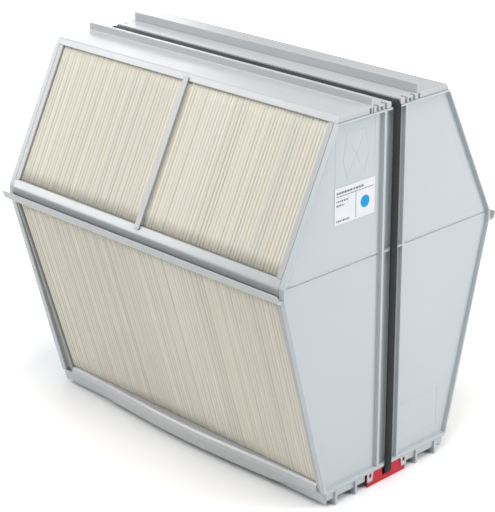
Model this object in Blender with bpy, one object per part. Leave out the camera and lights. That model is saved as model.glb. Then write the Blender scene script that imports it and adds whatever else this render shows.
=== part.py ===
"""Heat exchanger cartridge of a heat recovery ventilation unit.

A stack of thin membrane plates in a frame of moulded pieces: an end plate at each end, two covers and a
centre rail on top, a rounded ridge rail with a gutter along each side, and a tray with four rib feet below.
A webbing strap runs round it lengthwise, held at the foot of each end plate by a red clip.

Frame: X across the cartridge, Y along it with the labelled end plate at -Y, +Z up, metres. The origin is
on the floor under the middle. Heights named *_Z are above the floor.
"""

from math import cos, pi, sin

import bmesh
import bpy
from mathutils import Matrix, Vector

# Driving dimensions, metres.
LENGTH = 0.500  # over the two end plates
END = LENGTH / 2
GAP = 0.0003  # between pieces that touch
BASE_Z = 0.0215  # bottom edge of the end plates
SHOULDER_LOW_Z = BASE_Z + 0.2720
SHOULDER_HIGH_Z = BASE_Z + 0.2860
SHELF_Z = BASE_Z + 0.4578  # top edge of the end plates
BASE_HALF = 0.1117
SHOULDER_HALF = 0.1822
SHELF_HALF = 0.0955

# End plates.
PLATE_DEPTH = 0.0080
PANEL_RECESS = 0.0050
RIM = 0.0025
TOP_RIM = 0.0020
SEAM_RIB = 0.0012
SEAM_PROUD = 0.0010
SEAM_GROOVE = 0.0014
SEAM_Z = BASE_Z + 0.2845
GROOVE_HALF = 0.0163  # half the groove that the strap lies in
GROOVE_RIB = 0.0035

# Frame bars beside the plate stack.
BAR_BACK = END - PLATE_DEPTH - GAP
BAR_WIDTH = 0.0077
BAR_DEPTH = 0.0085
LOWER_BAR_TOP = 0.0052
LOWER_BAR_FOOT_FRONT = 0.0035
LOWER_BAR_FOOT_REAR = 0.0190

# Top pieces.
COVER_END = END - 0.0025
COVER_TOP_Z = SHELF_Z + 0.0080
FIN_TOP_Z = COVER_TOP_Z + 0.0103
FIN_INNER = 0.0376
FIN_THICK = 0.0028
SLIT_WIDTH = 0.0025
SLIT_DEPTH = 0.0100
RAIL_HALF = FIN_INNER - 0.0004
RAIL_END = END - 0.0012
CHANNEL_HALF = 0.0080
CHANNEL_DEPTH = 0.0028
HOOK_WINDOW = Vector((0.0222, 0.0262))
HOOK_WINDOW_DEPTH = 0.0035
HOOK_WINDOW_TOP = 0.0046

# Mullions, the bars across the upper windows.
MULLION_WIDTH = 0.0090
MULLION_THICK = 0.0016
MULLION_WEB = 0.0020
MULLION_LAP = 0.0045

# Ridge rails and their gutters.
GUTTER_END = END - 0.0004
RIDGE_TOP_Z = SHOULDER_HIGH_Z + 0.0085
WEB_Z = SHOULDER_LOW_Z - 0.0016
WEB_THICK = 0.0018
LIP_FOOT = Vector((0.1907, WEB_Z))
LIP_TIP = Vector((0.1936, WEB_Z + 0.0106))

# Bottom pieces.
TRAY_TOP_Z = BASE_Z - GAP
TRAY_FLOOR = 0.0030
LIP_DROP = 0.0162
LIP_THICK = 0.0035
BAND_DROP = 0.0120
BAND_FACE = END - 0.0030
BAND_THICK = 0.0030
FLOOR_END = END - 0.0045
RIB_PLACES = (0.0560, 0.0915)
RIB_THICK = 0.0030
RIB_END = END - 0.0005
LEDGE_THICK = 0.0016
HOOK_DROP = 0.0140
HOOK_THICK = 0.0011
RAIL_BOW = 0.0089  # how far a bottom rail bulges at mid-length
RAIL_STEPS = 28
SKIRT_SETBACK = 0.34  # share of half the rail's length over which its skirt is cut back at each end
SKIRT_END_Z = BASE_Z + 0.0003
SKIRT_LOW_Z = BASE_Z - 0.0137

# Plate stack and the resin round it.
STACK_INSET = 0.0025
STACK_LEAN_FRONT = 0.0040
STACK_LEAN_REAR = 0.0116
STACK_SKIN = 0.0045  # how far in from its sides the stack rises past the top potting
RESIN_THICK = 0.0030

# Strap and clips.
STRAP_WIDTH = 0.0125
STRAP_THICK = 0.0013
CLIP_HALF = 0.0345
CLIP_TOP_Z = BASE_Z - 0.0022
CLIP_THICK = 0.0024
CLIP_FACE = END - 0.0016
CLIP_FOOT_Z = 0.0003
CLIP_LEG = 0.0080
NOTCH_HALF = 0.0070
NOTCH_DROP = 0.0120

# Label on the front end plate.
LABEL_MIN = Vector((-0.0968, BASE_Z + 0.3370))
LABEL_SIZE = Vector((0.0672, 0.0440))
LABEL_THICK = 0.0002


def clear_scene():
    for thing in list(bpy.data.objects):
        bpy.data.objects.remove(thing, do_unlink=True)


def collection(name, hidden=False):
    made = bpy.data.collections.new(name)
    bpy.context.scene.collection.children.link(made)
    made.hide_render = hidden
    return made


def material(name, colour, roughness, metallic=0.0):
    made = bpy.data.materials.new(name)
    made.use_nodes = True
    shader = made.node_tree.nodes["Principled BSDF"]
    shader.inputs["Base Color"].default_value = (*colour, 1.0)
    shader.inputs["Roughness"].default_value = roughness
    shader.inputs["Metallic"].default_value = metallic
    made.diffuse_color = (*colour, 1.0)
    return made


clear_scene()
PARTS = collection("heat_exchanger_cartridge")
CUTTERS = collection("cutters", hidden=True)
PANEL_GREY = material("panel_plastic", (0.60, 0.65, 0.69), 0.45)
FRAME_GREY = material("frame_plastic", (0.56, 0.59, 0.60), 0.40)
MEMBRANE = material("membrane", (0.66, 0.62, 0.54), 0.70)
RESIN = material("potting_resin", (0.70, 0.66, 0.52), 0.55)
WEBBING = material("strap_webbing", (0.02, 0.022, 0.025), 0.75)
CLIP_RED = material("clip_red", (0.52, 0.03, 0.05), 0.40)
LABEL_WHITE = material("label_paper", (0.86, 0.88, 0.92), 0.50)

# A drawing plane's local X and Y lie in the plane and its local Z is the way that a piece gets thicker.
ACROSS = Matrix(((1, 0, 0, 0), (0, 0, -1, 0), (0, 1, 0, 0), (0, 0, 0, 1)))  # X-Z plane, thicker to -Y
LENGTHWISE = Matrix(((0, 0, 1, 0), (1, 0, 0, 0), (0, 1, 0, 0), (0, 0, 0, 1)))  # Y-Z plane, thicker to +X


def link(thing, group):
    for other in list(thing.users_collection):
        other.objects.unlink(thing)
    group.objects.link(thing)
    if group is CUTTERS:
        thing.hide_render = True
        thing.display_type = "WIRE"


def solid_from(name, curve_object, group, finish):
    """The evaluated curve as a mesh object with its caps welded on."""
    graph = bpy.context.evaluated_depsgraph_get()
    mesh = bpy.data.meshes.new_from_object(curve_object.evaluated_get(graph))
    shape = bmesh.new()
    shape.from_mesh(mesh)
    bmesh.ops.remove_doubles(shape, verts=shape.verts, dist=1e-6)
    bmesh.ops.recalc_face_normals(shape, faces=shape.faces)
    shape.to_mesh(mesh)
    shape.free()
    mesh.name = name
    mesh.materials.clear()
    if finish:
        mesh.materials.append(finish)
    made = bpy.data.objects.new(name, mesh)
    made.matrix_world = curve_object.matrix_world
    curve = curve_object.data
    bpy.data.objects.remove(curve_object)
    bpy.data.curves.remove(curve)
    link(made, group)
    return made


def slab(name, outline, low, high, plane, finish=None, group=None, holes=()):
    """A flat outline in a drawing plane, filled and extruded from low to high along the plane's Z."""
    group = group or PARTS
    curve = bpy.data.curves.new(name + "_outline", "CURVE")
    curve.dimensions = "2D"
    curve.fill_mode = "BOTH"
    curve.extrude = (high - low) / 2
    for loop in (outline, *holes):
        spline = curve.splines.new("POLY")
        spline.points.add(len(loop) - 1)
        for point, place in zip(spline.points, loop):
            point.co = (place[0], place[1], 0.0, 1.0)
        spline.use_cyclic_u = True
    drawn = bpy.data.objects.new(name + "_outline", curve)
    bpy.context.scene.collection.objects.link(drawn)
    drawn.matrix_world = plane @ Matrix.Translation((0, 0, (low + high) / 2))
    bpy.context.view_layer.update()
    return solid_from(name, drawn, group, finish)


def boolean(thing, other, operation):
    step = thing.modifiers.new(operation.lower() + "_" + other.name, "BOOLEAN")
    step.operation = operation
    step.object = other
    return thing


def cut(thing, *others):
    for other in others:
        boolean(thing, other, "DIFFERENCE")


def join(thing, *others):
    for other in others:
        boolean(thing, other, "UNION")


def box(name, low, high):
    """An axis-aligned helper box that another piece is cut or joined with."""
    mesh = bpy.data.meshes.new(name)
    shape = bmesh.new()
    bmesh.ops.create_cube(shape, size=1.0)
    low, high = Vector(low), Vector(high)
    bmesh.ops.scale(shape, verts=shape.verts, vec=high - low)
    bmesh.ops.translate(shape, verts=shape.verts, vec=(low + high) / 2)
    shape.to_mesh(mesh)
    shape.free()
    made = bpy.data.objects.new(name, mesh)
    link(made, CUTTERS)
    return made


def loft(name, rings, finish):
    """A solid skinned over rings of points and closed by its first and last ring."""
    shape = bmesh.new()
    made = [[shape.verts.new(point) for point in ring] for ring in rings]
    count = len(rings[0])
    for one, other in zip(made, made[1:]):
        for i in range(count):
            j = (i + 1) % count
            shape.faces.new((one[i], one[j], other[j], other[i]))
    shape.faces.new(made[0])
    shape.faces.new(made[-1])
    bmesh.ops.recalc_face_normals(shape, faces=shape.faces)
    mesh = bpy.data.meshes.new(name)
    shape.to_mesh(mesh)
    shape.free()
    mesh.materials.append(finish)
    solid = bpy.data.objects.new(name, mesh)
    link(solid, PARTS)
    return solid


def mirrored(points):
    return [(-x, z) for x, z in reversed(points)]


def arc(centre, radius, start, end, steps=5):
    """Points on a circular arc, angles in degrees."""
    angles = [start + (end - start) * i / steps for i in range(steps + 1)]
    return [
        (centre[0] + radius * cos(a * pi / 180), centre[1] + radius * sin(a * pi / 180))
        for a in angles
    ]


def lower_face_x(z):
    return BASE_HALF + (z - BASE_Z) * (SHOULDER_HALF - BASE_HALF) / (SHOULDER_LOW_Z - BASE_Z)


def upper_face_x(z):
    return SHOULDER_HALF - (z - SHOULDER_HIGH_Z) * (SHOULDER_HALF - SHELF_HALF) / (
        SHELF_Z - SHOULDER_HIGH_Z
    )


def half_width(z):
    """Half the end plate's width at a height."""
    if z <= SHOULDER_LOW_Z:
        return lower_face_x(z)
    if z <= SHOULDER_HIGH_Z:
        return SHOULDER_HALF
    return upper_face_x(z)


def cross_section(low, high, inset=0.0):
    """The cartridge's outline between two heights, its slanted sides moved in by inset."""
    heights = [low, SHOULDER_LOW_Z, SHOULDER_HIGH_Z, high]
    right = [(half_width(z) - inset, z) for z in heights if low <= z <= high]
    return right + mirrored(right)


def end_plate(name, facing):
    """A hexagonal plate with six recessed panels between its rims. It faces -Y where facing is -1."""
    near, far = sorted((-facing * END, -facing * (END - PLATE_DEPTH)))
    body = slab(name, cross_section(BASE_Z, SHELF_Z), near, far, ACROSS, PANEL_GREY)
    spans = (
        (BASE_Z + RIM, SEAM_Z - SEAM_RIB / 2),
        (SEAM_Z + SEAM_RIB / 2, SHELF_Z - TOP_RIM),
    )
    floor, above = facing * (END - PANEL_RECESS), facing * (END + 0.01)
    cut_low, cut_high = sorted((-floor, -above))
    inner = GROOVE_HALF + GROOVE_RIB
    for level, (low, high) in zip(("lower", "upper"), spans):
        heights = [z for z in (low, SHOULDER_LOW_Z, SHOULDER_HIGH_Z, high) if low <= z <= high]
        outer = [(half_width(z) - RIM * 1.1, z) for z in heights]
        right = [(inner, low), *outer, (inner, high)]
        for side, outline in (("right", right), ("left", mirrored(right))):
            label = f"{name}_{level}_{side}_panel"
            cut(body, slab(label, outline, cut_low, cut_high, ACROSS, group=CUTTERS))
        groove = box(
            f"{name}_{level}_groove",
            (-GROOVE_HALF, min(floor, above), low),
            (GROOVE_HALF, max(floor, above), high),
        )
        cut(body, groove)
    crown = facing * (END - PANEL_RECESS + SEAM_PROUD)
    for side in (-1, 1):
        near_x, far_x = sorted((side * inner, side * (SHOULDER_HALF - RIM * 1.1)))
        low = (near_x, min(crown, above), SEAM_Z - SEAM_RIB)
        high = (far_x, max(crown, above), SEAM_Z + SEAM_RIB)
        cut(body, box(f"{name}_seam_{side}", low, high))
        bed = facing * (END - PANEL_RECESS - SEAM_GROOVE)
        low = (near_x, min(bed, above), SEAM_Z - SEAM_RIB / 2 - SEAM_GROOVE)
        high = (far_x, max(bed, above), SEAM_Z - SEAM_RIB / 2)
        cut(body, box(f"{name}_seam_groove_{side}", low, high))
    catch_y = facing * (RAIL_END - HOOK_WINDOW_DEPTH / 2)
    for side in (-1, 1):
        catch_x = side * (HOOK_WINDOW.x + HOOK_WINDOW.y) / 2
        low = (catch_x - 0.0007, catch_y - 0.0007, SHELF_Z - 0.0010)
        high = (catch_x + 0.0007, catch_y + 0.0007, SHELF_Z + 0.0018)
        join(body, box(f"{name}_catch_{side}", low, high))
    return body


def face_plane(side, low, high):
    """The drawing plane of a slanted side between two heights: local X is +Y, local Y runs up the slope,
    and local Z points out of the cartridge."""
    foot = Vector((side * half_width(low), 0.0, low))
    head = Vector((side * half_width(high), 0.0, high))
    up = (head - foot).normalized()
    out = Vector((0, 1, 0)).cross(up)
    along = Vector((0, 1, 0))
    if out.x * side < 0:
        out = -out
        along = -along
    turn = Matrix((along, up, out)).transposed().to_4x4()
    return Matrix.Translation(foot) @ turn, (head - foot).length, along.y


def upper_bar(name, side, facing):
    """The strip between an end plate and the stack on an upper side, from the ridge rail to the cover."""
    low, high = RIDGE_TOP_Z + GAP, SHELF_Z
    slope = (SHOULDER_HALF - SHELF_HALF) / (SHELF_Z - SHOULDER_HIGH_Z)
    depth = BAR_DEPTH * (1 + slope**2) ** 0.5
    outline = [
        (upper_face_x(low) - depth, low),
        (upper_face_x(low), low),
        (upper_face_x(high), high),
        (upper_face_x(high) - depth, high),
    ]
    outline = outline if side > 0 else mirrored(outline)
    near, far = sorted((-facing * BAR_BACK, -facing * (BAR_BACK - BAR_WIDTH)))
    return slab(name, outline, near, far, ACROSS, FRAME_GREY)


def lower_bar(name, side, facing):
    """The strip between an end plate and the stack on a lower side. The rear one widens towards its foot
    and is a channel with a rim at each side."""
    low, high = BASE_Z, WEB_Z - GAP
    foot_width = LOWER_BAR_FOOT_REAR if facing > 0 else LOWER_BAR_FOOT_FRONT
    slope = (SHOULDER_HALF - BASE_HALF) / (SHOULDER_LOW_Z - BASE_Z)
    depth = BAR_DEPTH * (1 + slope**2) ** 0.5
    rings = []
    for z, width in ((low, foot_width), (high, LOWER_BAR_TOP)):
        outer, inner = side * lower_face_x(z), side * (lower_face_x(z) - depth)
        near, far = facing * (BAR_BACK - width), facing * BAR_BACK
        corners = ((outer, near, z), (inner, near, z), (inner, far, z), (outer, far, z))
        rings.append([Vector(corner) for corner in corners])
    bar = loft(name, rings, FRAME_GREY)
    if facing > 0:
        plane, length, sign = face_plane(side, low, high)
        rim, outer = 0.0016, BAR_BACK
        trough = [
            (outer - rim, -0.01),
            (outer - foot_width + rim, -0.01),
            (outer - foot_width + rim, 0),
            (outer - LOWER_BAR_TOP + rim, length - 0.006),
            (outer - rim, length - 0.006),
        ]
        trough = [(sign * y, s) for y, s in trough]
        cut(bar, slab(name + "_trough", trough, -0.0045, 0.01, plane, group=CUTTERS))
    return bar


def mullion(name, side):
    """The bar across the middle of an upper window. Its thin ends lie on the ridge rail and the cover."""
    plane, span, _ = face_plane(side, RIDGE_TOP_Z, SHELF_Z)
    plane = plane @ Matrix.Rotation(pi / 2, 4, "Y")
    outer, lap = -GAP - MULLION_THICK, MULLION_LAP
    outline = [
        (outer, -lap),
        (-GAP, -lap),
        (-GAP, 0.0020),
        (MULLION_WEB, 0.0020),
        (MULLION_WEB, span - 0.0004),
        (-GAP, span - 0.0004),
        (-GAP, span + lap),
        (outer, span + lap),
    ]
    return slab(name, outline, -MULLION_WIDTH / 2, MULLION_WIDTH / 2, plane, FRAME_GREY)


def top_cover(name, side):
    """A thick cover strip whose inner edge is turned up into a fin."""
    foot = SHELF_Z + GAP
    shoulder = upper_face_x(COVER_TOP_Z)
    fin_outer = FIN_INNER + FIN_THICK
    outline = [
        (FIN_INNER, foot),
        (SHELF_HALF, foot),
        (shoulder + 0.0003, COVER_TOP_Z - 0.0006),
        (shoulder - 0.0008, COVER_TOP_Z),
        (fin_outer + 0.0012, COVER_TOP_Z),
        (fin_outer, COVER_TOP_Z + 0.0012),
        (fin_outer, FIN_TOP_Z - 0.0005),
        (fin_outer - 0.0005, FIN_TOP_Z),
        (FIN_INNER, FIN_TOP_Z),
    ]
    outline = outline if side > 0 else mirrored(outline)
    cover = slab(name, outline, -COVER_END, COVER_END, ACROSS, FRAME_GREY)
    for facing in (-1, 1):
        low, high = box_corners(
            (side * fin_outer, facing * (COVER_END - SLIT_DEPTH), foot - 0.01),
            (side * (fin_outer + SLIT_WIDTH), facing * (COVER_END + 0.01), COVER_TOP_Z - 0.0015),
        )
        cut(cover, box(f"{name}_slit_{facing}", low, high))
    return cover


def top_centre_rail():
    """The rail between the fins. The strap lies in its channel, and at each end a hook with a window
    stands on each side of the channel."""
    foot = SHELF_Z + GAP
    top = COVER_TOP_Z - 0.0006
    right = [
        (CHANNEL_HALF, top - CHANNEL_DEPTH),
        (CHANNEL_HALF, top),
        (RAIL_HALF - 0.0006, top),
        (RAIL_HALF, top - 0.0006),
        (RAIL_HALF, foot),
    ]
    reach = RAIL_END
    rail = slab("top_centre_rail", mirrored(right) + right, -reach, reach, ACROSS, FRAME_GREY)
    cuts = (
        ("inner_notch", 0.0155, 0.0195, 0.0090, 0.02),
        ("outer_notch", 0.0290, 0.0330, 0.0070, 0.02),
        ("window", HOOK_WINDOW.x, HOOK_WINDOW.y, HOOK_WINDOW_DEPTH, HOOK_WINDOW_TOP),
    )
    for facing in (-1, 1):
        for side in (-1, 1):
            for label, near, far, depth, height in cuts:
                low, high = box_corners(
                    (side * near, facing * (reach - depth), foot - 0.01),
                    (side * far, facing * (reach + 0.01), foot + height),
                )
                cut(rail, box(f"rail_{label}_{facing}_{side}", low, high))
        low, high = box_corners(
            (-CHANNEL_HALF, facing * (reach - 0.0060), foot - 0.01),
            (CHANNEL_HALF, facing * (reach + 0.01), top + 0.01),
        )
        cut(rail, box(f"rail_bend_{facing}", low, high))
    return rail


def ridge_rail(name, side):
    """Rounded rail along the widest line. The gutter below it has a flat web and an upright lip, and runs
    on past the rail's ends to the faces of the end plates."""
    nose = SHOULDER_HALF + 0.0008
    root = SHOULDER_HALF - 0.0080
    rail = [
        (upper_face_x(RIDGE_TOP_Z) - 0.0030, RIDGE_TOP_Z),
        (upper_face_x(RIDGE_TOP_Z), RIDGE_TOP_Z),
        (upper_face_x(SHOULDER_HIGH_Z + 0.0018), SHOULDER_HIGH_Z + 0.0018),
        (nose - 0.0006, SHOULDER_HIGH_Z),
        (nose - 0.0001, SHOULDER_HIGH_Z - 0.0018),
        (nose - 0.0004, SHOULDER_LOW_Z + 0.0090),
        (nose - 0.0014, SHOULDER_LOW_Z + 0.0060),
        (nose - 0.0031, SHOULDER_LOW_Z + 0.0030),
        (nose - 0.0052, SHOULDER_LOW_Z + 0.0008),
        (nose - 0.0060, WEB_Z + WEB_THICK - 0.0002),
        (nose, WEB_Z + WEB_THICK - 0.0002),
        (nose, WEB_Z + 0.0002),
        (root, WEB_Z + 0.0002),
        (root, SHOULDER_LOW_Z + 0.0040),
        (SHOULDER_HALF - 0.0045, SHOULDER_HIGH_Z - 0.0040),
    ]
    rise = (LIP_TIP - LIP_FOOT).normalized()
    across = Vector((rise.y, -rise.x)) * WEB_THICK / 2
    start = SHOULDER_HALF + GAP
    gutter = [
        (start, WEB_Z),
        (LIP_FOOT.x - 0.0012, WEB_Z),
        *arc((LIP_FOOT.x - 0.0012, WEB_Z + 0.0022), 0.0022, -90, -15, 3),
        tuple(LIP_TIP + across),
        tuple(LIP_TIP - across),
        (LIP_FOOT.x - 0.0006, WEB_Z + WEB_THICK + 0.0016),
        (LIP_FOOT.x - 0.0022, WEB_Z + WEB_THICK),
        (start, WEB_Z + WEB_THICK),
    ]
    if side < 0:
        rail, gutter = mirrored(rail), mirrored(gutter)
    piece = slab(name, rail, -BAR_BACK, BAR_BACK, ACROSS, FRAME_GREY)
    join(piece, slab(name + "_gutter", gutter, -GUTTER_END, GUTTER_END, ACROSS, group=CUTTERS))
    return piece


def bottom_rail(name, side):
    """The rounded rail at the foot of a lower window, between the bars. It bulges outwards at mid-length,
    and its skirt hangs over the tray's lip except near the ends, where the skirt is cut back."""
    plane, _, _ = face_plane(side, BASE_Z, SHOULDER_LOW_Z)
    foot, up, out = plane.translation, plane.col[1].xyz, plane.col[2].xyz
    front = -(BAR_BACK - LOWER_BAR_FOOT_FRONT - GAP)
    rear = BAR_BACK - LOWER_BAR_FOOT_REAR - GAP
    outward = Vector((side, 0, 0))
    rings = []
    for step in range(RAIL_STEPS + 1):
        share = 2 * step / RAIL_STEPS - 1
        along = Vector((0, front + (rear - front) * (share + 1) / 2, 0))
        bulge = outward * RAIL_BOW * cos(pi * share / 2) ** 2
        cut_back = min(1.0, (1 - abs(share)) / SKIRT_SETBACK)
        edge_z = SKIRT_END_Z + (SKIRT_LOW_Z - SKIRT_END_Z) * cut_back
        edge = Vector((side * (lower_face_x(edge_z) + 0.0016), 0, edge_z)) + bulge + along
        crest = [(-0.0006, 0.0112), (0.0004, 0.0106), (0.0027, 0.0046), (0.0030, 0.0036), (0.0028, 0.0026)]
        ring = [foot + out * -0.0080 + up * 0.0112 + along]
        ring += [foot + out * n + up * s + bulge + along for n, s in crest]
        ring += [edge, edge - outward * 0.0012]
        ring.append(foot + out * 0.0006 + up * 0.0022 + bulge * 0.95 + along)
        ring.append(foot + out * -0.0002 + up * 0.0008 + along)
        ring.append(foot + out * -0.0080 + up * 0.0008 + along)
        rings.append(ring)
    return loft(name, rings, FRAME_GREY)


def bottom_tray():
    """Floor, two drooping side lips, four lengthwise ribs that the cartridge stands on and, at each end, a
    ledge and band with a pair of windowed hooks for the strap's clip."""
    floor_low = TRAY_TOP_Z - TRAY_FLOOR
    lip_low = BASE_Z - LIP_DROP
    right = [
        (lower_face_x(lip_low) - LIP_THICK, floor_low),
        (lower_face_x(lip_low) - LIP_THICK, lip_low + 0.0010),
        (lower_face_x(lip_low) - LIP_THICK + 0.0010, lip_low),
        (lower_face_x(lip_low), lip_low),
        (lower_face_x(TRAY_TOP_Z), TRAY_TOP_Z),
    ]
    tray = slab("bottom_tray", mirrored(right) + right, -FLOOR_END, FLOOR_END, ACROSS, FRAME_GREY)
    for place in RIB_PLACES:
        for side in (-1, 1):
            low, high = box_corners(
                (side * place - RIB_THICK / 2, -RIB_END, 0.0),
                (side * place + RIB_THICK / 2, RIB_END, floor_low + 0.0010),
            )
            join(tray, box(f"tray_rib_{side}_{place}", low, high))
    band_back = BAND_FACE - BAND_THICK
    ledge_half = lower_face_x(TRAY_TOP_Z) - 0.0010
    band_half = lower_face_x(lip_low) - 0.0010
    for facing in (-1, 1):
        low, high = box_corners(
            (-ledge_half, facing * band_back, TRAY_TOP_Z - LEDGE_THICK),
            (ledge_half, facing * (END - 0.0002), TRAY_TOP_Z),
        )
        join(tray, box(f"tray_ledge_{facing}", low, high))
        for side in (-1, 1):
            low, high = box_corners(
                (side * (CLIP_HALF + 0.0030), facing * band_back, BASE_Z - BAND_DROP),
                (side * band_half, facing * (BAND_FACE - 0.0002), TRAY_TOP_Z - 0.0008),
            )
            join(tray, box(f"tray_band_{facing}_{side}", low, high))
            hook = [
                (0.0250, TRAY_TOP_Z - 0.0005),
                (0.0268, BASE_Z - HOOK_DROP),
                (0.0352, BASE_Z - HOOK_DROP),
                (0.0362, BASE_Z - HOOK_DROP + 0.0015),
                (0.0362, TRAY_TOP_Z - 0.0005),
            ]
            window = [
                (0.0288, BASE_Z - 0.0085),
                (0.0330, BASE_Z - 0.0085),
                (0.0330, BASE_Z - 0.0030),
                (0.0288, BASE_Z - 0.0030),
            ]
            if side < 0:
                hook, window = mirrored(hook), mirrored(window)
            near, far = sorted((-facing * (END - 0.0002), -facing * (END - 0.0002 - HOOK_THICK)))
            label = f"tray_hook_{facing}_{side}"
            join(tray, slab(label, hook, near, far, ACROSS, group=CUTTERS, holes=(window,)))
    return tray


def strap_clip(name, facing):
    """Red plate pushed up behind the two hooks of the tray. The strap goes through its open notch, and two
    short legs stiffen it. Its origin is on the line that it slides down."""
    low, high = CLIP_FOOT_Z, CLIP_TOP_Z
    notch = high - NOTCH_DROP
    corner = 0.0008
    right = [
        (CLIP_HALF - corner, low),
        (CLIP_HALF, low + corner),
        (CLIP_HALF, high),
        (NOTCH_HALF, high),
        (NOTCH_HALF, notch),
    ]
    face, back = -facing * CLIP_FACE, -facing * (CLIP_FACE - CLIP_THICK)
    outline = right + mirrored(right)
    clip = slab(name, outline, min(face, back), max(face, back), ACROSS, CLIP_RED)
    for side in (-1, 1):
        corners = box_corners(
            (side * 0.0180, facing * (CLIP_FACE - CLIP_THICK / 2), low + 0.0040),
            (side * 0.0200, facing * (CLIP_FACE - CLIP_THICK - CLIP_LEG), high - 0.0040),
        )
        join(clip, box(f"{name}_leg_{side}", *corners))
    centre = Vector((0.0, facing * (CLIP_FACE - CLIP_THICK / 2), (low + high) / 2))
    clip.data.transform(Matrix.Translation(-centre) @ clip.matrix_world)
    clip.matrix_world = Matrix.Translation(centre)
    return clip


def strap():
    """One closed loop of webbing, drawn as a ring in the lengthwise plane: over the top, down both end
    plates, in through the clips' notches and along below the tray."""
    outer_y = END + GAP + STRAP_THICK
    top = COVER_TOP_Z - 0.0006 - CHANNEL_DEPTH + GAP + STRAP_THICK
    bottom = CLIP_TOP_Z - NOTCH_DROP + GAP
    bend = 0.0062

    def ring(inset):
        y, high, low, radius = outer_y - inset, top - inset, bottom + inset, bend - inset
        return [
            *arc((y - radius, high - radius), radius, 0, 90),
            *arc((-y + radius, high - radius), radius, 90, 180),
            *arc((-y + radius, low + radius), radius, 180, 270),
            *arc((y - radius, low + radius), radius, 270, 360),
        ]

    half = STRAP_WIDTH / 2
    inner = (ring(STRAP_THICK),)
    return slab("pull_strap", ring(0.0), -half, half, LENGTHWISE, WEBBING, holes=inner)


def plate_stack():
    """The membrane plates as one block, with its sides behind the windows. Below the ridges it leans a
    little towards the front, as the plates settle."""
    inset = STACK_INSET
    low, high, trough = BASE_Z + 0.0140, SHELF_Z - 0.0002, SHELF_Z - 0.0090
    step_low, step_high = WEB_Z - 0.0010, RIDGE_TOP_Z + 0.0006
    waist = SHOULDER_HALF - 0.0125
    right = [
        (lower_face_x(low) - inset, low),
        (lower_face_x(step_low) - inset, step_low),
        (waist, step_low),
        (waist, step_high),
        (upper_face_x(step_high) - inset, step_high),
        (upper_face_x(high) - inset, high),
        (upper_face_x(high) - inset - STACK_SKIN, high),
        (upper_face_x(high) - inset - STACK_SKIN, trough),
    ]
    reach = BAR_BACK - BAR_WIDTH - GAP
    stack = slab("membrane_plate_stack", right + mirrored(right), -reach, reach, ACROSS, MEMBRANE)
    stack.data.transform(stack.matrix_world)
    stack.matrix_world = Matrix.Identity(4)
    for vertex in stack.data.vertices:
        depth = max(0.0, (step_low - vertex.co.z) / (step_low - low))
        lean = STACK_LEAN_FRONT if vertex.co.y < 0 else STACK_LEAN_REAR
        vertex.co.y -= depth * lean
    return stack


def resin_bed(name, facing):
    """The layer of potting resin that bonds the stack's last plate to an end plate."""
    outline = cross_section(BASE_Z + 0.0130, SHELF_Z - 0.0095, inset=0.0125)
    near, far = sorted((-facing * (BAR_BACK), -facing * (BAR_BACK - RESIN_THICK)))
    return slab(name, outline, near, far, ACROSS, RESIN)


def potting_strips():
    """The resin that seals the stack's long edges into the covers, the ridge rails and the tray."""
    reach = BAR_BACK - BAR_WIDTH - GAP
    half = upper_face_x(SHELF_Z) - STACK_INSET - STACK_SKIN - GAP
    top = [(-half, SHELF_Z), (-half, SHELF_Z - 0.0085), (half, SHELF_Z - 0.0085), (half, SHELF_Z)]
    slab("top_potting", top, -reach, reach, ACROSS, RESIN)
    base = cross_section(BASE_Z + GAP, BASE_Z + 0.0115, inset=0.0090)
    slab("bottom_potting", base, -reach, reach, ACROSS, RESIN)
    inner = SHOULDER_HALF - 0.0122
    outer = SHOULDER_HALF - 0.0084
    ridge = [
        (inner, WEB_Z),
        (outer, WEB_Z),
        (outer, SHOULDER_LOW_Z + 0.0040),
        (inner + 0.0014, RIDGE_TOP_Z - 0.0020),
        (inner, RIDGE_TOP_Z - 0.0020),
    ]
    slab("right_ridge_potting", ridge, -reach, reach, ACROSS, RESIN)
    slab("left_ridge_potting", mirrored(ridge), -reach, reach, ACROSS, RESIN)


def label():
    low, high = LABEL_MIN, LABEL_MIN + LABEL_SIZE
    outline = [(low.x, low.y), (high.x, low.y), (high.x, high.y), (low.x, high.y)]
    face = END - PANEL_RECESS + GAP
    return slab("front_label", outline, face, face + LABEL_THICK, ACROSS, LABEL_WHITE)


def box_corners(one, other):
    """The lowest and the highest corner of the box between two opposite corners."""
    return tuple(map(min, one, other)), tuple(map(max, one, other))


def main():
    end_plate("front_end_plate", -1)
    end_plate("rear_end_plate", 1)
    for side, hand in ((-1, "left"), (1, "right")):
        for facing, end in ((-1, "front"), (1, "rear")):
            upper_bar(f"upper_{hand}_{end}_bar", side, facing)
            lower_bar(f"lower_{hand}_{end}_bar", side, facing)
        mullion(f"{hand}_mullion", side)
        top_cover(f"top_cover_{hand}", side)
        ridge_rail(f"{hand}_ridge_rail", side)
        bottom_rail(f"{hand}_bottom_rail", side)
    top_centre_rail()
    bottom_tray()
    plate_stack()
    resin_bed("front_resin_bed", -1)
    resin_bed("rear_resin_bed", 1)
    potting_strips()
    strap_clip("front_strap_clip", -1)
    strap_clip("rear_strap_clip", 1)
    strap()
    label()


main()
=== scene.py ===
"""Looks of the heat exchanger cartridge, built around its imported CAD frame. Metres, +Z up."""

from math import cos, pi, radians, sin
from random import Random

import bmesh
import bpy
from mathutils import Matrix, Vector


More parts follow.
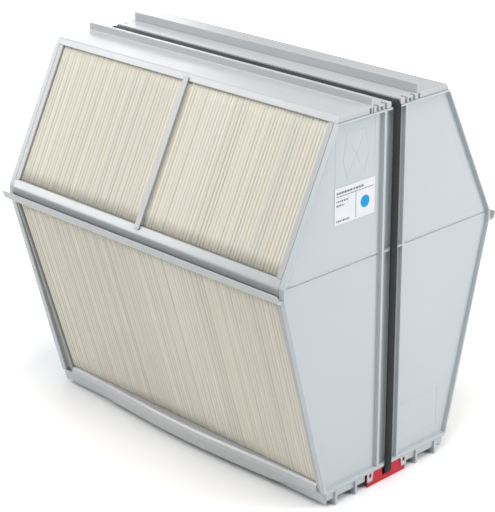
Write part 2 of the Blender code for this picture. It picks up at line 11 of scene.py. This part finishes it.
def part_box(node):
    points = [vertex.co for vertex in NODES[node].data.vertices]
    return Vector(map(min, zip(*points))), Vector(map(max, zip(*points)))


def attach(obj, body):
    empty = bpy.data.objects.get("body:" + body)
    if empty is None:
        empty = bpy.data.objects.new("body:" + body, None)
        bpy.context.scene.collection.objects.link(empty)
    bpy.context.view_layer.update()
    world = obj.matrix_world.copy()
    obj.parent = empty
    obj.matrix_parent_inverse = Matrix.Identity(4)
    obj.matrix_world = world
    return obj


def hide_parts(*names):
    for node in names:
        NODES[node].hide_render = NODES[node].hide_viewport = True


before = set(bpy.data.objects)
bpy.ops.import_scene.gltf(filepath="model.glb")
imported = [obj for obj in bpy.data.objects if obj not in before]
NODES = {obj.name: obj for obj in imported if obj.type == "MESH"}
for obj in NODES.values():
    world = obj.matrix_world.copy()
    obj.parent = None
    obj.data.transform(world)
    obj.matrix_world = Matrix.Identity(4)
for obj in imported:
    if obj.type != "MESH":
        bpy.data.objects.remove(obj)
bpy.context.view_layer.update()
MAIN = "cartridge"

END = 0.250
BASE_Z = 0.0215
SHOULDER_LOW_Z = 0.2935
SHOULDER_HIGH_Z = 0.3075
SHELF_Z = 0.4793
BASE_HALF = 0.1117
SHOULDER_HALF = 0.1822
SHELF_HALF = 0.0955
PANEL_Y = END - 0.0050
RAIL_EDGE_HIGH_Z = 0.0325
RAIL_EDGE_LOW_Z = 0.0317
WARP_PITCH = 0.00105
TWILL_PITCH = 0.00210


# ---------------------------------------------------------------- materials


class Finish:
    """A material and short ways to add nodes to it."""

    def __init__(self, name, slot=None):
        self.material = bpy.data.materials.new(name)
        self.material.use_nodes = True
        self.tree = self.material.node_tree
        self.shader = self.tree.nodes["Principled BSDF"]
        self.slot = slot

    def node(self, kind, **settings):
        made = self.tree.nodes.new("ShaderNode" + kind)
        for key, value in settings.items():
            setattr(made, key, value)
        return made

    def wire(self, source, target):
        self.tree.links.new(source, target)

    def place(self, scale=(1.0, 1.0, 1.0), output="Object"):
        where = self.node("TexCoord")
        mapping = self.node("Mapping")
        mapping.inputs["Scale"].default_value = scale
        self.wire(where.outputs[output], mapping.inputs["Vector"])
        return mapping.outputs["Vector"]

    def noise(self, scale, detail=3.0, rough=0.55, vector=None):
        made = self.node("TexNoise")
        made.inputs["Scale"].default_value = scale
        made.inputs["Detail"].default_value = detail
        made.inputs["Roughness"].default_value = rough
        self.wire(vector or self.place(), made.inputs["Vector"])
        return made.outputs["Fac"]

    def ramp(self, value, *stops):
        made = self.node("ValToRGB")
        while len(made.color_ramp.elements) < len(stops):
            made.color_ramp.elements.new(0.5)
        for element, (position, colour) in zip(made.color_ramp.elements, stops):
            element.position = position
            element.color = (*colour, 1.0)
        self.wire(value, made.inputs["Fac"])
        return made.outputs["Color"]

    def spread(self, value, low, high, from_low=0.3, from_high=0.7):
        made = self.node("MapRange")
        made.inputs["From Min"].default_value = from_low
        made.inputs["From Max"].default_value = from_high
        made.inputs["To Min"].default_value = low
        made.inputs["To Max"].default_value = high
        self.wire(value, made.inputs["Value"])
        return made.outputs["Result"]

    def mix(self, factor, one, other):
        made = self.node("Mix", data_type="RGBA")
        for value, socket in ((factor, made.inputs[0]), (one, made.inputs[6]), (other, made.inputs[7])):
            if isinstance(value, (int, float)):
                socket.default_value = value
            elif isinstance(value, tuple):
                socket.default_value = (*value, 1.0)
            else:
                self.wire(value, socket)
        return made.outputs[2]

    def math(self, operation, one, other=0.0):
        made = self.node("Math", operation=operation)
        for value, socket in zip((one, other), made.inputs):
            if isinstance(value, (int, float)):
                socket.default_value = value
            else:
                self.wire(value, socket)
        return made.outputs[0]

    def bump(self, height, distance):
        made = self.node("Bump")
        made.inputs["Distance"].default_value = distance
        self.wire(height, made.inputs["Height"])
        return made.outputs["Normal"]

    def colour(self, source):
        self.put("Base Color", source)

    def put(self, name, source):
        socket = self.shader.inputs[name]
        if isinstance(source, (int, float)):
            socket.default_value = source
        elif isinstance(source, tuple):
            socket.default_value = (*source, 1.0)
        else:
            self.wire(source, socket)


def tint(colour, factor):
    return tuple(min(1.0, channel * factor) for channel in colour)


def moulded(name, slot, colour, roughness, grain=0.00001, blotch=0.012):
    """Injection-moulded or extruded plastic: slow changes of tone, a fine grain and a little dust."""
    made = Finish(name, slot)
    slow = made.noise(7.0, 4.0)
    base = made.ramp(slow, (0.30, tint(colour, 1.0 - blotch)), (0.70, tint(colour, 1.0 + blotch)))
    dust = made.spread(made.noise(260.0, 2.0), 0.0, 0.06, 0.60, 0.80)
    made.colour(made.mix(dust, base, tint(colour, 0.80)))
    made.put("Roughness", made.spread(made.noise(18.0, 3.0), roughness - 0.03, roughness + 0.04))
    made.put("Normal", made.bump(made.noise(1500.0, 2.0), grain))
    return made


PANEL = moulded("panel_plastic_look", "panel_plastic", (0.440, 0.480, 0.502), 0.42)
FRAME = moulded("frame_plastic_look", "frame_plastic", (0.375, 0.380, 0.378), 0.34)
RAIL = moulded("rail_plastic_look", "frame_plastic", (0.430, 0.443, 0.450), 0.22)
COVER = moulded("cover_plastic_look", "frame_plastic", (0.435, 0.448, 0.460), 0.32)
TRAY = moulded("tray_plastic_look", "frame_plastic", (0.425, 0.455, 0.473), 0.38)
CLIP = moulded("clip_red_look", "clip_red", (0.450, 0.014, 0.031), 0.36, blotch=0.05)
CLIP.put("Specular IOR Level", 0.25)


def resin_look():
    made = Finish("resin_look", "potting_resin")
    slow = made.noise(30.0, 4.0)
    made.colour(made.ramp(slow, (0.3, (0.36, 0.25, 0.11)), (0.7, (0.52, 0.40, 0.20))))
    made.put("Roughness", made.spread(made.noise(70.0), 0.25, 0.5))
    made.put("Normal", made.bump(made.noise(90.0, 4.0), 0.0004))
    return made


def membrane_look():
    """Plate edges. The attributes give each edge its own tone and say how deep in a gap a point is; points
    deep in a gap take a darker tan, which is partly the plates' own colour and partly painted shade.
    """
    made = Finish("membrane_look", "membrane")
    tone = made.node("Attribute", attribute_name="tone").outputs["Fac"]
    deep = made.node("Attribute", attribute_name="deep").outputs["Fac"]
    crest = made.ramp(
        tone,
        (0.0, (0.505, 0.515, 0.500)),
        (0.35, (0.565, 0.560, 0.505)),
        (0.7, (0.590, 0.580, 0.530)),
        (1.0, (0.650, 0.648, 0.612)),
    )
    slow = made.noise(1.0, 3.0, vector=made.place(scale=(6.0, 22.0, 6.0)))
    crest = made.mix(made.spread(slow, 0.0, 0.32), crest, (0.560, 0.508, 0.445))
    # Deeper in the gaps between plate edges the colour turns to a darker tan: partly the plates' own tan,
    # partly painted shade in the gaps.
    gap = made.ramp(tone, (0.0, (0.490, 0.438, 0.310)), (1.0, (0.575, 0.515, 0.370)))
    made.colour(made.mix(deep, crest, gap))
    made.put("Roughness", 0.62)
    fine = made.noise(1.0, 4.0, vector=made.place(scale=(130.0, 1400.0, 130.0)))
    made.put("Normal", made.bump(fine, 0.00006))
    return made


def webbing_look():
    """Woven strap. Its UV map runs along the strap in U and across it in V, both in metres."""
    made = Finish("webbing_look", "strap_webbing")
    split = made.node("SeparateXYZ")
    made.wire(made.place(output="UV"), split.inputs[0])
    along, across = split.outputs[0], split.outputs[1]
    warp = made.math("SINE", made.math("MULTIPLY", across, 2 * pi / WARP_PITCH))
    diagonal = made.math(
        "ADD",
        made.math("MULTIPLY", along, 2 * pi / TWILL_PITCH),
        made.math("MULTIPLY", across, 2 * pi / TWILL_PITCH),
    )
    twill = made.math("SINE", diagonal)
    cords = made.math("MULTIPLY", made.math("ABSOLUTE", warp), 0.6)
    weave = made.math("ADD", cords, made.math("MULTIPLY", twill, 0.4))
    height = made.spread(weave, 0.0, 1.0, -0.4, 1.0)
    # The weave's low parts are painted darker than its raised cords: painted shade in the hollows of the
    # weave.
    shade = made.ramp(height, (0.0, (0.003, 0.004, 0.005)), (1.0, (0.018, 0.022, 0.025)))
    made.colour(made.mix(made.spread(made.noise(60.0), 0.0, 0.4), shade, (0.022, 0.023, 0.025)))
    made.put("Roughness", 0.40)
    made.put("Specular IOR Level", 0.14)
    made.put("Sheen Weight", 0.03)
    made.put("Sheen Roughness", 0.4)
    made.put("Normal", made.bump(weave, 0.00025))
    return made


def paper_look():
    made = Finish("label_paper_look", "label_paper")
    made.colour(made.ramp(made.noise(40.0), (0.3, (0.600, 0.620, 0.655)), (0.7, (0.640, 0.655, 0.685))))
    made.put("Roughness", 0.45)
    made.put("Normal", made.bump(made.noise(700.0, 3.0), 0.00002))
    return made


def ink_look(name, colour):
    made = Finish(name, "label_paper")
    made.colour(made.ramp(made.noise(900.0, 2.0), (0.3, tint(colour, 0.9)), (0.75, tint(colour, 1.25))))
    made.put("Roughness", 0.5)
    made.put("Specular IOR Level", 0.2)
    return made


RESIN = resin_look()
MEMBRANE = membrane_look()
WEBBING = webbing_look()
PAPER = paper_look()
INK_GREY = ink_look("ink_grey_look", (0.15, 0.16, 0.18))
INK_BLUE = ink_look("ink_blue_look", (0.000, 0.250, 0.500))


# ---------------------------------------------------------------- geometry helpers


def lower_face_x(z):
    return BASE_HALF + (z - BASE_Z) * (SHOULDER_HALF - BASE_HALF) / (SHOULDER_LOW_Z - BASE_Z)


def upper_face_x(z):
    share = (z - SHOULDER_HIGH_Z) * (SHOULDER_HALF - SHELF_HALF)
    return SHOULDER_HALF - share / (SHELF_Z - SHOULDER_HIGH_Z)


def add_object(name, mesh, finishes, body=MAIN, replaces=()):
    made = bpy.data.objects.new(name, mesh)
    bpy.context.scene.collection.objects.link(made)
    for finish in finishes:
        mesh.materials.append(finish.material)
    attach(made, body)
    if replaces:
        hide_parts(*replaces)
    return made


def mesh_from(name, shape, smooth=False):
    bmesh.ops.recalc_face_normals(shape, faces=shape.faces)
    mesh = bpy.data.meshes.new(name)
    shape.to_mesh(mesh)
    shape.free()
    for polygon in mesh.polygons:
        polygon.use_smooth = smooth
    return mesh


def corners_over(shape, degrees):
    """The edges where two faces meet at more than this angle."""
    least = radians(degrees)
    return [edge for edge in shape.edges if len(edge.link_faces) == 2 and edge.calc_face_angle(0.0) > least]


def moulded_from(node, finish, width=0.0004, segments=2, body=MAIN, flat=0.5, crisp=9.0, shift=None):
    """A CAD node's shape with its corners rounded and its own finish, standing for that node. Bends under
    crisp degrees shade smoothly, and each facet of a rounded corner keeps its own shade."""
    shape = bmesh.new()
    shape.from_mesh(NODES[node].data)
    bmesh.ops.remove_doubles(shape, verts=shape.verts, dist=2e-6)
    if flat:
        bmesh.ops.dissolve_limit(shape, angle_limit=radians(flat), verts=shape.verts, edges=shape.edges)
        bmesh.ops.triangulate(shape, faces=[face for face in shape.faces if len(face.verts) > 4])
    if shift:
        for vertex in shape.verts:
            vertex.co += shift(vertex.co)
    bmesh.ops.bevel(
        shape,
        geom=corners_over(shape, 25.0),
        offset=width,
        offset_type="OFFSET",
        segments=segments,
        profile=0.5,
        affect="EDGES",
        clamp_overlap=True,
    )
    bmesh.ops.recalc_face_normals(shape, faces=shape.faces)
    for edge in shape.edges:
        edge.smooth = True
    for edge in corners_over(shape, crisp):
        edge.smooth = False
    made = add_object(node + "_look", mesh_from(node + "_look", shape, smooth=True), [finish], body, [node])
    if crisp > 20.0:
        even = made.modifiers.new("even_normals", "WEIGHTED_NORMAL")
        even.keep_sharp = True
        even.weight = 100
    return made


def fuller_edge(place):
    """Moves the two corners of a bottom rail's upper edge apart, so that the edge has a fuller radius."""
    side = 1 if place.x > 0 else -1
    if abs(place.z - RAIL_EDGE_HIGH_Z) < 0.0002 and abs(place.x) > 0.1080:
        return Vector((-0.0016 * side, 0.0, 0.0))
    if abs(place.z - RAIL_EDGE_LOW_Z) < 0.0002:
        return Vector((0.0001 * side, 0.0, -0.0014))
    return Vector((0.0, 0.0, 0.0))


# ---------------------------------------------------------------- frame pieces

for end in ("front", "rear"):
    moulded_from(f"{end}_end_plate", PANEL)
    moulded_from(f"{end}_strap_clip", CLIP, body=f"{end}_clip")
for hand in ("left", "right"):
    for end in ("front", "rear"):
        moulded_from(f"upper_{hand}_{end}_bar", FRAME, 0.0005)
        moulded_from(f"lower_{hand}_{end}_bar", FRAME)
    moulded_from(f"{hand}_mullion", FRAME, 0.0005)
    moulded_from(f"top_cover_{hand}", COVER, 0.0006, 3)
    moulded_from(f"{hand}_ridge_rail", RAIL, 0.00025, crisp=32.0)
    moulded_from(f"{hand}_bottom_rail", RAIL, 0.0005, 3, flat=0.0, crisp=40.0, shift=fuller_edge)
moulded_from("top_centre_rail", COVER)
moulded_from("bottom_tray", TRAY)
for node in (
    "front_resin_bed",
    "rear_resin_bed",
    "top_potting",
    "bottom_potting",
    "left_ridge_potting",
    "right_ridge_potting",
):
    NODES[node].data.materials.clear()
    NODES[node].data.materials.append(RESIN.material)


# ---------------------------------------------------------------- plate stack

PAIRS = 94
STACK_REACH = 0.2336
STACK_INSET = 0.0025
STACK_SKIN = 0.0045
STACK_LEAN_FRONT = 0.0040
STACK_LEAN_REAR = 0.0116
SHOULDER_INSET = 0.0130
GAP_DEEP = 0.0006
STEP_LOW, STEP_HIGH = 0.2909, 0.3166
STACK_LOW, STACK_HIGH, TROUGH = BASE_Z + 0.0140, SHELF_Z - 0.0002, SHELF_Z - 0.0090


def stack_outline():
    """Points up the right side of the stack: (x, z, way out of the face, lean share, depth share)."""
    points = []
    spread = lower_face_x(STACK_LOW) - lower_face_x(STEP_LOW)
    slope_low = Vector((STEP_LOW - STACK_LOW, spread)).normalized()
    for i in range(15):
        z = STACK_LOW + (STEP_LOW - STACK_LOW) * i / 14
        points.append((lower_face_x(z) - STACK_INSET, z, slope_low, 1.0 - i / 14, 1.0))
    points.append((SHOULDER_HALF - SHOULDER_INSET, STEP_LOW + 0.0004, slope_low, 0.0, 0.0))
    spread = upper_face_x(STEP_HIGH) - upper_face_x(STACK_HIGH)
    slope_high = Vector((STACK_HIGH - STEP_HIGH, spread)).normalized()
    points.append((SHOULDER_HALF - SHOULDER_INSET, STEP_HIGH - 0.0004, slope_high, 0.0, 0.0))
    for i in range(11):
        z = STEP_HIGH + (STACK_HIGH - STEP_HIGH) * i / 10
        points.append((upper_face_x(z) - STACK_INSET, z, slope_high, 0.0, 1.0))
    inner = upper_face_x(STACK_HIGH) - STACK_INSET - STACK_SKIN
    points.append((inner, STACK_HIGH, slope_high, 0.0, 0.0))
    points.append((inner, TROUGH, slope_high, 0.0, 0.0))
    return points


def plate_stack():
    """The closed edges of the plate pairs as rounded ribs with sunk gaps between them, swept round the
    stack. Each pair has its own width, tone and slight wander."""
    chance = Random(41)
    right = stack_outline()
    ring = list(right)
    for x, z, out, lean, share in reversed(right):
        ring.append((-x, z, Vector((-out.x, out.y)), lean, share))
    pitch = 2 * STACK_REACH / PAIRS
    columns = []
    zone = 0.5
    for pair in range(PAIRS):
        start = -STACK_REACH + pair * pitch
        if chance.random() < 0.16:
            zone = chance.uniform(0.15, 0.85)
        tone = min(1.0, max(0.0, zone * 0.6 + chance.uniform(-0.05, 0.42)))
        width = pitch * chance.uniform(0.66, 0.80)
        proud = chance.uniform(-0.0003, 0.0002)
        wander = [chance.uniform(-0.0005, 0.0005) for _ in range(4)]
        gap = (pitch - width) / 2
        # The last number of each profile point says how far the colour turns to the darker gap tan: partly
        # painted shade in the gaps.
        profile = (
            (0.0, -GAP_DEEP, 1.0),
            (gap * 0.80, -GAP_DEEP, 1.0),
            (gap, -0.0003, 0.45),
            (gap + width * 0.16, -0.0001, 0.05),
            (gap + width * 0.38, 0.0, 0.0),
            (gap + width * 0.62, 0.0, 0.0),
            (gap + width * 0.84, -0.0001, 0.05),
            (gap + width, -0.0003, 0.45),
            (pitch - gap * 0.80, -GAP_DEEP, 1.0),
        )
        for offset, depth, deep in profile:
            columns.append((start + offset, depth + proud * (deep < 0.9), tone, deep, wander))
    columns.append((STACK_REACH, -GAP_DEEP, 0.5, 1.0, [0.0] * 4))
    shape = bmesh.new()
    rows = []
    for y, depth, tone, deep, wander in columns:
        row = []
        for index, (x, z, out, lean, share) in enumerate(ring):
            along = 3.0 * index / (len(ring) - 1)
            low = min(2, int(along))
            drift = wander[low] + (wander[low + 1] - wander[low]) * (along - low)
            back = (STACK_LEAN_REAR - STACK_LEAN_FRONT) * (y + STACK_REACH)
            lean_by = STACK_LEAN_FRONT + back / (2 * STACK_REACH)
            place_y = y + drift * share - lean_by * lean
            place = Vector((x + out.x * depth * share, place_y, z + out.y * depth * share))
            row.append(shape.verts.new(place))
        rows.append(row)
    count = len(ring)
    for one, other in zip(rows, rows[1:]):
        for i in range(count):
            j = (i + 1) % count
            shape.faces.new((one[i], one[j], other[j], other[i]))
    shape.faces.new(rows[0])
    shape.faces.new(rows[-1])
    mesh = mesh_from("membrane_plate_stack_look", shape, smooth=True)
    tone_values = mesh.attributes.new("tone", "FLOAT", "POINT")
    deep_values = mesh.attributes.new("deep", "FLOAT", "POINT")
    for column, (_, _, tone, deep, _) in enumerate(columns):
        for i in range(count):
            tone_values.data[column * count + i].value = tone
            deep_values.data[column * count + i].value = deep
    add_object("membrane_plate_stack_look", mesh, [MEMBRANE], replaces=["membrane_plate_stack"])


plate_stack()


# ---------------------------------------------------------------- strap

STRAP_HALF = 0.00625
STRAP_THICK = 0.0013
STRAP_BEND = 0.0062
STRAP_EDGE = 0.0005
STRAP_STEP = 0.010


def strap():
    """The loop of webbing: a flat section with rounded edges swept along a closed path in the Y-Z plane."""
    low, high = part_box("pull_strap")
    radius = STRAP_BEND
    y_out, top, bottom = high.y, high.z, low.z
    path = []
    corners = (
        (y_out - radius, top - radius, 0),
        (-y_out + radius, top - radius, 90),
        (-y_out + radius, bottom + radius, 180),
        (y_out - radius, bottom + radius, 270),
    )
    for y, z, start in corners:
        for i in range(9):
            angle = radians(start + 90 * i / 8)
            path.append(Vector((0.0, y + radius * cos(angle), z + radius * sin(angle))))
    points = []
    for one, other in zip(path, path[1:] + path[:1]):
        pieces = max(1, round((other - one).length / STRAP_STEP))
        points += [one.lerp(other, i / pieces) for i in range(pieces)]
    half, thick, edge = STRAP_HALF, STRAP_THICK, STRAP_EDGE
    section = [
        (-half + edge, 0.0),
        (half - edge, 0.0),
        (half, -edge),
        (half, -thick + edge),
        (half - edge, -thick),
        (-half + edge, -thick),
        (-half, -thick + edge),
        (-half, -edge),
    ]
    shape = bmesh.new()
    uv = shape.loops.layers.uv.new("strap")
    count = len(points)
    rings, run, distance = [], [], 0.0
    for i, point in enumerate(points):
        ahead = (points[(i + 1) % count] - points[i - 1]).normalized()
        out = Vector((0.0, ahead.z, -ahead.y))
        rings.append([shape.verts.new(point + Vector((x, 0, 0)) + out * depth) for x, depth in section])
        run.append(distance)
        distance += (points[(i + 1) % count] - point).length
    run.append(distance)
    for i in range(count):
        one, other = rings[i], rings[(i + 1) % count]
        for j in range(len(section)):
            k = (j + 1) % len(section)
            face = shape.faces.new((one[j], one[k], other[k], other[j]))
            across = (section[j][0], section[k][0], section[k][0], section[j][0])
            for loop, u, v in zip(face.loops, (run[i], run[i], run[i + 1], run[i + 1]), across):
                loop[uv].uv = (u, v + half)
    mesh = mesh_from("pull_strap_look", shape, smooth=True)
    add_object("pull_strap_look", mesh, [WEBBING], replaces=["pull_strap"])


strap()


# ---------------------------------------------------------------- label and embossed marks


def rounded_rectangle(low, high, radius, steps=4):
    corners = (
        (high[0] - radius, high[1] - radius, 0),
        (low[0] + radius, high[1] - radius, 90),
        (low[0] + radius, low[1] + radius, 180),
        (high[0] - radius, low[1] + radius, 270),
    )
    points = []
    for x, z, start in corners:
        for i in range(steps + 1):
            angle = radians(start + 90 * i / steps)
            points.append((x + radius * cos(angle), z + radius * sin(angle)))
    return points


def plate(shape, outline, near, far, index=0):
    """Adds a thin plate with an X-Z outline, between two Y values, to a bmesh."""
    front = [shape.verts.new((x, near, z)) for x, z in outline]
    back = [shape.verts.new((x, far, z)) for x, z in outline]
    faces = [shape.faces.new(front), shape.faces.new(back)]
    for i in range(len(outline)):
        j = (i + 1) % len(outline)
        faces.append(shape.faces.new((front[i], front[j], back[j], back[i])))
    for face in faces:
        face.material_index = index


LABEL_CORNER = 0.0012
LABEL_MARGIN = 0.0022
LABEL_LINE = 0.00085
LABEL_HEADER = 0.0085
DOT_RADIUS = 0.0075
INK_THICK = 0.00006


def label():
    """White paper with frame lines, plain bars in place of type, and a blue dot."""
    low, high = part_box("front_label")
    shape = bmesh.new()
    face = low.y + INK_THICK
    ink = face - INK_THICK
    plate(shape, rounded_rectangle((low.x, low.z), (high.x, high.z), LABEL_CORNER), face, high.y)

    def bar(x, z, width, height):
        outline = [(x, z), (x + width, z), (x + width, z + height), (x, z + height)]
        plate(shape, outline, ink, face + 0.00002, 1)

    left, right = low.x + LABEL_MARGIN, high.x - LABEL_MARGIN
    top, bottom = high.z - LABEL_MARGIN, low.z + LABEL_MARGIN
    middle = left + 0.52 * (right - left)
    line = LABEL_LINE
    header = top - LABEL_HEADER
    bar(left, header, right - left, line)
    bar(middle, bottom, line, header - bottom)
    chance = Random(5)
    rows = (
        (top - 0.0055, 0.0026, 0.74),
        (header - 0.0065, 0.0021, 0.34),
        (header - 0.0115, 0.0021, 0.22),
        (bottom + 0.0010, 0.0021, 0.36),
    )
    for z, height, share in rows:
        x = left + 0.0008
        stop = left + share * (right - left)
        while x < stop:
            width = chance.uniform(0.0010, 0.0042)
            bar(x, z, min(width, stop - x), height)
            x += width + 0.0009
    across, up = (middle + right) / 2 + 0.0010, (bottom + header) / 2
    turns = [2 * pi * i / 40 for i in range(40)]
    disc = [(across + DOT_RADIUS * cos(turn), up + DOT_RADIUS * sin(turn)) for turn in turns]
    plate(shape, disc, ink, face + 0.00002, 2)
    mesh = mesh_from("front_label_look", shape)
    add_object("front_label_look", mesh, [PAPER, INK_GREY, INK_BLUE], replaces=["front_label"])


label()


def ridge_path(shape, points, width, height, closed=False):
    """Adds a low ridge with sloping sides and mitred corners along X-Z points on the front panel."""
    points = [Vector(point) for point in points]
    count = len(points)
    rings = []
    for i, point in enumerate(points):
        before = points[i - 1] if closed or i else point
        after = points[(i + 1) % count] if closed or i < count - 1 else point
        ways = [way.normalized() for way in (point - before, after - point) if way.length > 0]
        along = sum(ways, Vector((0.0, 0.0))).normalized()
        side = Vector((-along.y, along.x)) * width / 2 / max(0.4, along.dot(ways[0]))
        floor, crown = -PANEL_Y + 0.00005, -PANEL_Y - height
        ring = ((side, floor), (side * 0.4, crown), (-side * 0.4, crown), (-side, floor))
        rings.append([shape.verts.new((point.x + out.x, y, point.y + out.y)) for out, y in ring])
    for i in range(count if closed else count - 1):
        one, other = rings[i], rings[(i + 1) % count]
        for j in range(4):
            k = (j + 1) % 4
            shape.faces.new((one[j], one[k], other[k], other[j]))
    if not closed:
        shape.faces.new(rings[0])
        shape.faces.new(rings[-1])


def marks():
    """A plain square frame near the foot, and above the label a plain frame round a crossed hexagon."""
    low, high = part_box("front_label")
    shape = bmesh.new()
    square = [(0.0215, 0.0410), (0.0965, 0.0410), (0.0965, 0.0905), (0.0215, 0.0905)]
    ridge_path(shape, square, 0.0009, 0.00035, True)
    left, right, top, foot = low.x + 0.0006, high.x - 0.0006, 0.4745, high.z + 0.0030
    ridge_path(shape, [(left, foot), (left, top), (right, top), (right, foot)], 0.0008, 0.00022)
    middle = (low.x + high.x) / 2 + 0.0015
    right_half = [(0.0135, 0.4080), (0.0215, 0.4330), (0.0150, 0.4640)]
    hexagon = [(-0.0135, 0.4080)] + right_half + [(-0.0150, 0.4640), (-0.0215, 0.4330)]
    ridge_path(shape, [(middle + x, z) for x, z in hexagon], 0.0008, 0.00022, True)
    ridge_path(shape, [(middle - 0.0120, 0.4150), (middle + 0.0120, 0.4570)], 0.0007, 0.00020)
    ridge_path(shape, [(middle + 0.0120, 0.4150), (middle - 0.0120, 0.4570)], 0.0007, 0.00020)
    add_object("embossed_marks", mesh_from("embossed_marks", shape), [PANEL])


marks()


# ---------------------------------------------------------------- stage, light and camera


def stage():
    """A white floor that brightens evenly into the white backdrop away from the object."""
    shape = bmesh.new()
    bmesh.ops.create_grid(shape, x_segments=1, y_segments=1, size=6.0)
    mesh = mesh_from("studio_floor", shape)
    floor = bpy.data.objects.new("studio_floor", mesh)
    bpy.context.scene.collection.objects.link(floor)
    made = Finish("studio_floor_look")
    made.colour(made.ramp(made.noise(0.8), (0.3, (0.90, 0.90, 0.90)), (0.7, (0.92, 0.92, 0.92))))
    made.put("Roughness", 0.8)
    made.put("Specular IOR Level", 0.0)
    length = made.node("VectorMath", operation="LENGTH")
    made.wire(made.place(), length.inputs[0])
    far = made.spread(length.outputs["Value"], 0.0, 1.0, 0.34, 0.85)
    seen = made.node("LightPath").outputs["Is Camera Ray"]
    made.put("Emission Color", (1.0, 1.0, 1.0))
    made.put("Emission Strength", made.math("MULTIPLY", far, seen))
    mesh.materials.append(made.material)


def area_light(name, place, target, size, power):
    data = bpy.data.lights.new(name, "AREA")
    data.shape = "RECTANGLE"
    data.size, data.size_y = size
    data.energy = power
    lamp = bpy.data.objects.new(name, data)
    lamp.location = place
    lamp.rotation_mode = "QUATERNION"
    lamp.rotation_quaternion = (Vector(target) - Vector(place)).to_track_quat("-Z", "Y")
    bpy.context.scene.collection.objects.link(lamp)


WORLD_LIGHT = 0.33
LAMPS = (
    ("key_light", (1.3, -2.0, 1.7), (0.8, 0.8), 17.0),
    ("front_right_light", (1.0, -1.7, 0.8), (1.0, 1.0), 14.5),
    ("top_front_light", (-0.6, -0.8, 2.4), (1.0, 1.0), 26.0),
    ("top_light", (0.0, 0.3, 2.5), (2.0, 2.0), 15.0),
    ("left_light", (-2.4, 0.0, 0.9), (1.2, 1.2), 3.5),
    ("left_rear_light", (-1.35, 1.70, 1.40), (0.9, 1.5), 30.0),
    ("right_light", (2.2, 0.2, 1.4), (1.2, 1.2), 8.0),
    ("rear_light", (1.3, 2.2, 1.1), (1.0, 1.0), 9.0),
)


def lights():
    world = bpy.data.worlds.new("studio")
    world.use_nodes = True
    tree = world.node_tree
    background = tree.nodes["Background"]
    background.inputs["Color"].default_value = (1.0, 1.0, 1.0, 1.0)
    path = tree.nodes.new("ShaderNodeLightPath")
    strength = tree.nodes.new("ShaderNodeMapRange")
    strength.inputs["To Min"].default_value = WORLD_LIGHT
    tree.links.new(path.outputs["Is Camera Ray"], strength.inputs["Value"])
    tree.links.new(strength.outputs["Result"], background.inputs["Strength"])
    bpy.context.scene.world = world
    for name, place, size, power in LAMPS:
        area_light(name, place, (0, 0, 0.25), size, power)


def camera():
    azimuth, elevation, roll = radians(-44.142), radians(21.774), radians(-0.392)
    back = Vector((sin(azimuth) * cos(elevation), -cos(azimuth) * cos(elevation), sin(elevation)))
    right = Vector((cos(azimuth), sin(azimuth), 0.0))
    up = back.cross(right)
    side = right * cos(roll) + up * sin(roll)
    rise = up * cos(roll) - right * sin(roll)
    data = bpy.data.cameras.new("photo_camera")
    data.lens = 121.44
    data.sensor_width = 36.0
    data.clip_start, data.clip_end = 0.05, 50.0
    lens = bpy.data.objects.new("photo_camera", data)
    bpy.context.scene.collection.objects.link(lens)
    turn = Matrix((side, rise, back)).transposed().to_4x4()
    lens.matrix_world = Matrix.Translation((-1.4334, -1.4819, 1.0499)) @ turn
    bpy.context.scene.camera = lens


stage()
lights()
camera()
bpy.context.scene.view_settings.view_transform = "Standard"
bpy.context.scene.view_settings.look = "None"
